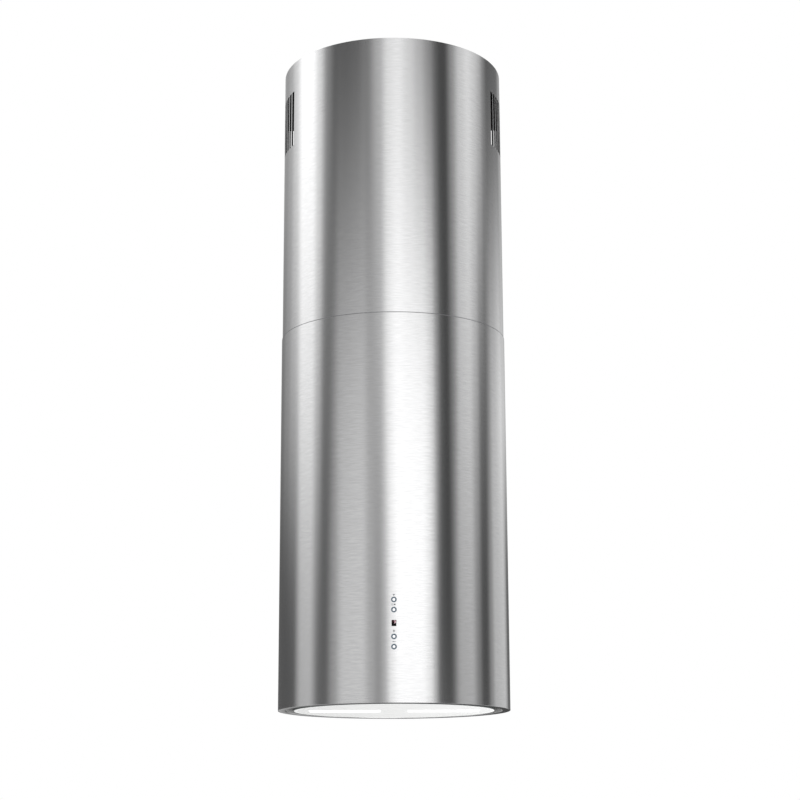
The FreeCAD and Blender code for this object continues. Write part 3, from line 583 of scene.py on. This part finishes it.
def plates(name, outlines, thickness, place):
    """Thin plates from flat outlines; place turns (across, up, out) into a point."""
    mesh = bmesh.new()
    for outline in outlines:
        front = [mesh.verts.new(place(u, v, thickness)) for u, v in outline]
        back = [mesh.verts.new(place(u, v, 0.0)) for u, v in outline]
        mesh.faces.new(front)
        for k in range(len(outline)):
            m = (k + 1) % len(outline)
            mesh.faces.new((front[k], back[k], back[m], front[m]))
    face_outwards(mesh)
    return made(name, mesh)


def finish_piece(piece, body, slot, *nodes, material=None):
    """Gives a piece its material, picked by its slot unless one is given, and its body, and hides the CAD
    nodes it stands for.
    """
    piece.data.materials.clear()
    piece.data.materials.append(material or MATERIALS[slot])
    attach(piece, body)
    if nodes:
        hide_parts(*nodes)
    return piece


# ---- tubes ----------------------------------------------------------------------------------
def slot_cuts(radius):
    """Both groups of slots, each as (first angle, last angle, bottom, top)."""
    half = math.asin(SLOT_WIDTH / 2 / radius)
    first = 90 * DEGREE - SLOT_FOREMOST
    centres = [side * (first + SLOT_PITCH * k) for side in (-1, 1) for k in range(SLOTS_PER_SIDE)]
    return [(c - half, c + half, SLOT_BOTTOM, SLOT_TOP) for c in centres]


def build_chimney():
    """Upper tube, with painted shade (a matt black) inside it and on the sides of its slots."""
    screws = [(side * SCREW_ANGLE, SCREW_HEIGHT, SCREW_PORT_RADIUS) for side in (-1, 1)]
    piece = pierced_tube("chimney_tube", CHIMNEY_RADIUS, CHIMNEY_LOW.z, CHIMNEY_HIGH.z,
                         slots=slot_cuts(CHIMNEY_RADIUS), ports=screws)
    finish_piece(piece, "ceiling_frame", "brushed_shell", "upper_chimney")
    piece.data.materials.append(painted_shade_black("painted_shade_coat"))
    # Painted shade: faces inside the tube, and the sides of the slots, take the matt black.
    for face in piece.data.polygons:
        depth = CHIMNEY_RADIUS - math.hypot(face.center.x, face.center.y)
        beside_slot = SLOT_BOTTOM - 0.001 < face.center.z < SLOT_TOP + 0.001
        shaded_from = 0.2 * SHEET if beside_slot else 0.9 * SHEET
        if depth > shaded_from:
            face.material_index = 1


def add_block(mesh, x, y, z):
    """Box between two values on each axis."""
    corners = [mesh.verts.new((a, b, c)) for a in x for b in y for c in z]
    for quad in ((0, 1, 3, 2), (4, 6, 7, 5), (0, 4, 5, 1), (2, 3, 7, 6), (0, 2, 6, 4), (1, 5, 7, 3)):
        mesh.faces.new([corners[k] for k in quad])


def build_baffles():
    """Blocks of painted shade in matt black: a splitter inside the deflector, and a baffle across the gap
    at each outlet.
    """
    mesh = bmesh.new()
    add_block(mesh, (-0.002, 0.002), (-0.0675, 0.0675), (-0.1095, -0.0385))
    for side in (-1, 1):
        add_block(mesh, (side * 0.1545, side * 0.1722), (-0.0008, 0.0008), (-0.084, -0.036))
    face_outwards(mesh)
    # These blocks are painted shade: matt black where only shade falls.
    finish_piece(made("outlet_baffles", mesh), "ceiling_frame", "rubber_mount",
                 material=painted_shade_black("baffle_painted_shade"))


def build_seals():
    """Foam strip between ceiling plate and chimney, and the glide strip on the shell's top edge."""
    plate_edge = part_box("ceiling_plate")[1].x
    foam = band(plate_edge + 2 * SEAL_PLAY, CHIMNEY_RADIUS - SHEET - SEAL_PLAY, -0.006, -0.0004)
    piece = lathe("foam_seal", foam, 192)
    finish_piece(piece, "ceiling_frame", "rubber_mount")
    inner = CHIMNEY_RADIUS + SEAL_PLAY
    tongue = SHELL_RADIUS - SHEET - SEAL_PLAY
    brim = SHELL_RADIUS - SEAL_PLAY
    tongue_low = SEAM - 0.004
    brim_low = SEAM + SEAL_PLAY
    brim_high = SEAM + 0.0009
    strip = [(inner, tongue_low), (tongue, tongue_low), (tongue, brim_low), (brim, brim_low),
             (brim, brim_high), (inner, brim_high)]
    # The strip's dark grey is partly painted shade: it also stands in for the shaded gap at the seam.
    piece = lathe("glide_strip", strip, 256)
    finish_piece(piece, "hood_body", "grey_plastic",
                 material=moulding("glide_strip", (0.20, 0.20, 0.21), 0.6))


def build_shell():
    """Lower tube, with its ports for the buttons and its window for the display."""
    ports = []
    for k in range(1, 5):
        low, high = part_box("button_%d" % k)
        ports.append((0.0, (low.z + high.z) / 2, BUTTON_PORT_RADIUS))
    low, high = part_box("display_window")
    half = math.asin((high.x + WINDOW_PLAY) / SHELL_RADIUS)
    window = (-half, half, low.z - WINDOW_PLAY, high.z + WINDOW_PLAY)
    piece = pierced_tube("shell_tube", SHELL_RADIUS, BOTTOM, SEAM, slots=[window], ports=ports)
    finish_piece(piece, "hood_body", "brushed_shell", "lower_shell")


def build_lip():
    """Folded lip inside the shell's rim, with soft bends."""
    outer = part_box("rim_lip")[1].x
    inner = LIP_RADIUS
    skin = LIP_SHEET
    flange = BOTTOM + LIP_FLANGE
    turned_in = BOTTOM + LIP_RETURN
    profile = [(outer, BOTTOM), (outer, flange), (outer - skin, flange), (outer - skin, BOTTOM + skin),
               (inner + skin, BOTTOM + skin), (inner + skin, turned_in), (inner, turned_in),
               (inner, BOTTOM)]
    bends = [0.0011, 0.0003, 0.0003, 0.0004, 0.0004, 0.0003, 0.0003, 0.0012]
    piece = lathe("folded_lip", rounded(profile, bends, 5), 256)
    finish_piece(piece, "hood_body", "polished_lip", "rim_lip")


def build_liner():
    """Pale liner on the lip's inner face, lit by the glass's painted glow and with a faint painted glow of
    its own.
    """
    profile = band(LIP_RADIUS - 0.0004, LIP_RADIUS - SEAL_PLAY, BOTTOM + LIP_SHEET,
                   BOTTOM + LIP_RETURN - SEAL_PLAY)
    liner = lathe("liner_with_painted_glow", profile, 256)
    finish_piece(liner, "hood_body", "white_plastic",
                 # Painted light: the liner glows faintly though it is no lamp, to lighten the gap.
                 material=glowing("liner_with_painted_glow", (0.28, 0.28, 0.28), 0.05, 0.6))


# ---- controls -------------------------------------------------------------------------------
def build_buttons():
    """Dished cap of each button."""
    for k, body in zip(range(1, 5), ("button_a", "button_b", "button_c", "button_d")):
        low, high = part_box("button_%d" % k)
        middle = (low.z + high.z) / 2
        radius = BUTTON_CAP_RADIUS
        face = low.y
        back = face + BUTTON_CAP_DEPTH
        profile = [(0.0, face + 0.00035), (radius * 0.55, face + 0.0003), (radius * 0.82, face + 0.00006),
                   (radius * 0.92, face), (radius, face + 0.00025), (radius, back), (0.0, back)]
        piece = lathe("button_cap_%d" % k, profile, 48, "Y", (0.0, 0.0, middle))
        finish_piece(piece, body, "button_steel")


def build_light_rings():
    """Rounded light guides round the caps."""
    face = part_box("button_light_rings")[0].y
    back = face + RING_DEPTH
    mesh = bmesh.new()
    for k in range(1, 5):
        low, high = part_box("button_%d" % k)
        middle = (low.z + high.z) / 2
        corners = [(RING_OUTER_RADIUS, face), (RING_OUTER_RADIUS, back), (RING_INNER_RADIUS, back),
                   (RING_INNER_RADIUS, face)]
        ring = lathe("ring", rounded(corners, [0.0003, 0.0002, 0.0002, 0.0003], 3), 48, "Y",
                     (0.0, 0.0, middle))
        mesh.from_mesh(ring.data)
        bpy.data.objects.remove(ring)
    piece = made("light_rings", mesh, smooth=True)
    finish_piece(piece, "hood_body", "ring_light_guide", "button_light_rings")


def on_shell(height):
    """Turns (across, up, out) in millimetres, round a height on the shell's front, into a point."""
    def place(u, v, out):
        radius = SHELL_RADIUS + out / 1000.0
        return on_tube(radius, u / 1000.0 / SHELL_RADIUS, BOTTOM + (height + v) / 1000.0)
    return place


def disc_outline(radius, across=0.0, up=0.0, sides=24):
    return [(across + radius * math.cos(2 * math.pi * k / sides),
             up + radius * math.sin(2 * math.pi * k / sides)) for k in range(sides)]


def bar_outline(width, height, across=0.0, up=0.0):
    return [(across - width / 2, up - height / 2), (across + width / 2, up - height / 2),
            (across + width / 2, up + height / 2), (across - width / 2, up + height / 2)]


def build_marks():
    """Small printed marks beside the buttons: lamp, timer dots, plus and minus."""
    ink = moulding("grey_print", (0.30, 0.31, 0.33), 0.5)
    mid_ink = moulding("mid_print", (0.20, 0.20, 0.21), 0.5)
    dark_ink = moulding("dark_print", (0.10, 0.10, 0.11), 0.5)
    lamp = [[(-2.1, 1.4), (2.1, 1.4), (0.9, -0.4), (-0.9, -0.4)], bar_outline(1.0, 1.0, 0.0, -1.2)]
    plus = [bar_outline(3.6, 1.0), bar_outline(1.0, 1.4, 0.0, 1.2), bar_outline(1.0, 1.4, 0.0, -1.2)]
    dots = [disc_outline(0.5, -2.0 + 1.15 * math.cos(k * math.pi / 3), 1.15 * math.sin(k * math.pi / 3), 8)
            for k in range(6)]
    marks = (("mark_lamp", LAMP_MARK_MM, lamp, ink), ("mark_timer", TIMER_MARK_MM, dots, ink),
             ("mark_speed_dot", TIMER_MARK_MM, [disc_outline(1.15, 1.3)], dark_ink),
             ("mark_plus", PLUS_MARK_MM, plus, mid_ink),
             ("mark_minus", MINUS_MARK_MM, [bar_outline(4.6, 1.0)], ink))
    for name, height, outlines, material in marks:
        piece = plates(name, outlines, PRINT_THICKNESS_MM, on_shell(height))
        finish_piece(piece, "hood_body", "black_plastic", material=material)


def build_digit():
    """One lit digit behind the display's window."""
    low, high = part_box("display_window")
    tall, wide, stroke = 3.4, 1.7, 0.42
    across = wide / 2
    segments = [bar_outline(wide, stroke, 0, tall / 2), bar_outline(wide, stroke, 0, 0),
                bar_outline(stroke, tall / 2, across, tall / 4),
                bar_outline(stroke, tall / 2, across, -tall / 4),
                bar_outline(wide, stroke, 0, -tall / 2)]
    centre_x = 1.1
    centre_z = (high.z + low.z) / 2 * 1000 + 1.6

    def place(u, v, out):
        return Vector(((centre_x + u + v * 0.08) / 1000, low.y - out / 1000, (centre_z + v) / 1000))
    piece = plates("display_digit", segments, PRINT_THICKNESS_MM, place)
    finish_piece(piece, "hood_body", "display_black",
                 material=glowing("digit_glow", (0.95, 0.70, 0.76), 0.75))


# ---- grease filter --------------------------------------------------------------------------
def strand(mesh, points, across, half_width, half_height):
    """Flat wire through points, all of them on one level."""
    last = None
    for spot in points:
        ring = [mesh.verts.new(spot + across * sx * half_width + Vector((0, 0, sz * half_height)))
                for sx, sz in ((-1, -1), (1, -1), (1, 1), (-1, 1))]
        if last:
            for k in range(4):
                m = (k + 1) % 4
                mesh.faces.new((last[k], ring[k], ring[m], last[m]))
        last = ring


def expanded_sheet(mesh, radius, z, turn, step=0.0042, pitch=0.0074):
    """Diamond cells of an expanded aluminium sheet, cut to a circle."""
    wave = (0.25, 1.0, 0.25, -0.25, -1.0, -0.25)
    rotation = Matrix.Rotation(turn, 3, "Z")
    across = rotation @ Vector((0, 1, 0))
    rows = int(radius / step)
    for row in range(-rows, rows + 1):
        middle = row * step
        reach = math.sqrt(max(radius * radius - (abs(middle) + step * 0.5) ** 2, 0.0))
        count = int(reach / (pitch / 4))
        if count < 2:
            continue
        shift = len(wave) // 2 if row % 2 else 0
        points = []
        for k in range(-count, count + 1):
            sway = wave[(k + shift) % len(wave)] * step * 0.42
            points.append(rotation @ Vector((k * pitch / 4, middle + sway, z)))
        strand(mesh, points, across, half_width=0.0005, half_height=0.00022)


def build_filter():
    """Layers of expanded aluminium over a dark core, painted shade for the filter's deeper layers."""
    low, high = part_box("filter_mesh")
    radius = high.x - 0.0008
    mesh = bmesh.new()
    expanded_sheet(mesh, radius, low.z + 0.0006, 0.0)
    expanded_sheet(mesh, radius, low.z + 0.0021, 62 * DEGREE)
    expanded_sheet(mesh, radius, high.z - 0.0006, 20 * DEGREE)
    face_outwards(mesh)
    finish_piece(made("filter_layers", mesh), "hood_body", "filter_aluminium", "filter_mesh")
    # Painted shade: the core is dark aluminium standing in for the shaded depth of the filter.
    core = lathe("filter_shaded_core", band(0.0, radius, low.z + 0.003, high.z - 0.002), 96)
    core.data.shade_flat()
    finish_piece(core, "hood_body", "filter_aluminium",
                 material=mottled_metal("filter_shaded_core", (0.22, 0.22, 0.23), 0.5, 700.0, 0.5)[0])


# ---- ducting --------------------------------------------------------------------------------
def build_duct():
    """Soft corrugations of the flexible duct."""
    low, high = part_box("flexible_duct")
    valley = DUCT_RADIUS + 0.0008
    crest = high.x - 0.0002
    steps = 8
    span = high.z - low.z - 2 * DUCT_CUFF
    outside = [(valley, low.z)]
    for k in range(DUCT_RIDGES * steps + 1):
        swell = (1 - math.cos(2 * math.pi * k / steps)) / 2
        climb = span * k / DUCT_RIDGES / steps
        outside.append((valley + (crest - valley) * swell, low.z + DUCT_CUFF + climb))
    outside.append((valley, high.z))
    inside = [(radius - DUCT_FOIL, z) for radius, z in reversed(outside)]
    piece = lathe("duct_bellows", outside + inside, 96)
    piece.data.materials.clear()
    piece.data.materials.append(MATERIALS["foil_duct"])
    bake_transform(piece)
    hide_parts("flexible_duct")


# ---- studio ---------------------------------------------------------------------------------
# Tall soft boxes and dark flags stand round the hood, in rings from the floor up. Each stop is
# (degrees from straight in front, turning towards +X, brightness of the light that stands there).
BELOW_BANDS = ((-180, 0.02), (-178, 0.20), (-175, 0.55), (-150, 0.60), (-110, 0.45), (-60, 0.55),
               (0, 0.80), (60, 0.55), (110, 0.45), (150, 0.40), (171, 0.06), (180, 0.06))
LOW_BANDS = ((-180, 0.25), (-160, 0.12), (-119, 0.09), (-104, 0.58), (-93, 0.60), (-79, 0.06),
             (-72, 0.09), (-62, 0.45), (-50, 0.92), (-32, 0.92), (-22, 0.55), (-15, 0.27),
             (-9, 0.47), (-2, 1.35), (5, 1.75), (28, 1.75), (36, 1.35), (41, 0.62), (46, 0.06),
             (58, 0.04), (69, 0.55), (83, 0.60), (93, 0.24), (99, 0.06), (105, 0.07), (113, 0.38),
             (121, 0.70), (143, 0.74), (149, 0.50), (156, 0.14), (180, 0.22))
MID_BANDS = ((-180, 0.35), (-158, 0.22), (-140, 0.40), (-125, 0.60), (-117, 0.72), (-107, 1.25),
             (-92, 1.25), (-82, 0.72), (-75, 0.22), (-69, 0.20), (-55, 0.86), (-33, 1.05),
             (-20, 0.70), (-13, 0.84), (-5, 1.65), (2, 1.95), (31, 2.05), (39, 1.70), (45, 0.75),
             (50, 0.20), (56, 0.08), (63, 0.31), (72, 0.90), (83, 0.94), (93, 0.60), (101, 0.17),
             (107, 0.15), (123, 0.82), (142, 1.06), (152, 0.82), (180, 0.35))
HIGH_BANDS = ((-180, 0.50), (-152, 0.42), (-137, 0.60), (-123, 1.05), (-110, 1.85), (-93, 1.80),
              (-84, 1.20), (-72, 0.34), (-62, 0.05), (-50, 0.01), (-38, 0.02), (-28, 0.14),
              (-15, 0.62), (-4, 1.08), (6, 1.15), (18, 0.80), (28, 0.47), (38, 0.18), (47, 0.06),
              (57, 0.06), (66, 0.42), (76, 0.90), (88, 1.15), (97, 0.98), (105, 0.78), (113, 0.36),
              (120, 0.12), (147, 0.14), (158, 0.40), (180, 0.50))


def band_ramp(tree, around, bands):
    """Colour ramp that holds one ring of studio lights."""
    node = add(tree, "ShaderNodeValToRGB", {0: around})
    ramp = node.color_ramp
    ramp.interpolation = "EASE"
    while len(ramp.elements) < len(bands):
        ramp.elements.new(0.5)
    for element, (degrees, level) in zip(ramp.elements, bands):
        element.position = (degrees + 180) / 360
        element.color = (level, level, level, 1.0)
    return node.outputs[0]


def blended(tree, rise, span, first, second):
    """Goes from one ring of lights to the next as the view direction rises through a span."""
    factor = remap(tree, rise, span[0], span[1], 0.0, 1.0)
    mix = add(tree, "ShaderNodeMix", {"Factor": factor}, data_type="RGBA")
    tree.links.new(first, mix.inputs["A"])
    tree.links.new(second, mix.inputs["B"])
    return mix.outputs["Result"]


def studio():
    """White backdrop, and tall soft lights that stand round the hood."""
    world = bpy.data.worlds.new("studio")
    bpy.context.scene.world = world
    world.use_nodes = True
    tree = world.node_tree
    tree.nodes.clear()
    direction = add(tree, "ShaderNodeTexCoord").outputs["Generated"]
    split = add(tree, "ShaderNodeSeparateXYZ", {0: direction})
    to_front = maths(tree, "MULTIPLY", split.outputs[1], -1.0)
    turn = maths(tree, "ARCTAN2", split.outputs[0], to_front)
    around = remap(tree, turn, -math.pi, math.pi, 0.0, 1.0)
    rise = split.outputs[2]
    middle = band_ramp(tree, around, MID_BANDS)
    lights = blended(tree, rise, (-0.22, -0.12), middle, band_ramp(tree, around, BELOW_BANDS))
    lights = blended(tree, rise, (-0.04, 0.0), lights, band_ramp(tree, around, LOW_BANDS))
    lights = blended(tree, rise, (0.145, 0.215), lights, middle)
    lights = blended(tree, rise, (0.235, 0.365), lights, band_ramp(tree, around, HIGH_BANDS))
    overhead = add(tree, "ShaderNodeRGB").outputs[0]
    overhead.default_value = (0.95, 0.95, 0.95, 1.0)
    lights = blended(tree, rise, (0.56, 0.80), lights, overhead)
    lit = add(tree, "ShaderNodeBackground", {0: lights, 1: 1.0})
    fade = remap(tree, rise, 0.0, 0.018, 0.70, 1.0)
    backdrop = add(tree, "ShaderNodeBackground", {0: fade, 1: 1.0})
    seen = add(tree, "ShaderNodeLightPath").outputs["Is Camera Ray"]
    both = add(tree, "ShaderNodeMixShader", {0: seen, 1: lit.outputs[0], 2: backdrop.outputs[0]})
    output = add(tree, "ShaderNodeOutputWorld")
    tree.links.new(both.outputs[0], output.inputs[0])


def camera():
    """Below the hood's rim, looking up at it from the front."""
    data = bpy.data.cameras.new("camera")
    data.sensor_width = 36.0
    data.lens = LENS_LENGTH_MM
    data.clip_end = 100.0
    piece = bpy.data.objects.new("camera", data)
    bpy.context.scene.collection.objects.link(piece)
    level = Vector((math.cos(CAMERA_YAW), -math.sin(CAMERA_YAW), 0.0))
    forward = Vector((math.sin(CAMERA_YAW), math.cos(CAMERA_YAW), 0.0))
    ahead = math.cos(CAMERA_PITCH) * forward + Vector((0.0, 0.0, math.sin(CAMERA_PITCH)))
    above = level.cross(ahead)
    right = math.cos(CAMERA_ROLL) * level + math.sin(CAMERA_ROLL) * above
    upward = math.cos(CAMERA_ROLL) * above - math.sin(CAMERA_ROLL) * level
    turn = Matrix((right, upward, -ahead)).transposed()
    place = Matrix.Translation((0.0, -CAMERA_DISTANCE, BOTTOM - CAMERA_BELOW_RIM))
    piece.matrix_world = place @ turn.to_4x4()
    bpy.context.scene.camera = piece


def floor():
    """Plain pale floor, as wide as the view."""
    mesh = bpy.data.meshes.new("floor")
    side = FLOOR_HALF_SIDE
    z = BOTTOM - FLOOR_BELOW_RIM
    mesh.from_pydata([(-side, -side, z), (side, -side, z), (side, side, z), (-side, side, z)], [],
                     [(0, 1, 2, 3)])
    piece = link_mesh("floor", mesh)
    material, _, bsdf = new_material("floor_paint")
    bsdf.inputs["Base Color"].default_value = (0.88, 0.88, 0.87, 1.0)
    bsdf.inputs["Roughness"].default_value = 0.9
    mesh.materials.append(material)
    piece.visible_glossy = False


def lamp_below():
    """Broad soft light that lifts the underside."""
    data = bpy.data.lights.new("floor_softbox", "AREA")
    data.shape = "SQUARE"
    data.size = 2.4
    data.energy = 12.0
    piece = bpy.data.objects.new("floor_softbox", data)
    bpy.context.scene.collection.objects.link(piece)
    piece.location = (0.4, -0.4, BOTTOM - 1.6)
    piece.rotation_euler = (math.pi, 0.0, 0.0)
    piece.visible_camera = False
    piece.visible_glossy = False


# ---- the scene ------------------------------------------------------------------------------
bpy.context.scene.view_settings.view_transform = "Standard"
studio()
camera()
floor()
lamp_below()

for part in frame["record"]["subparts"]:
    node = NODES[part["node"]]
    node.data.materials.clear()
    node.data.materials.append(MATERIALS[part["material_slot"]])

build_chimney()
build_seals()
build_baffles()
build_shell()
build_lip()
build_liner()
build_buttons()
build_light_rings()
build_marks()
build_digit()
build_filter()
build_duct()
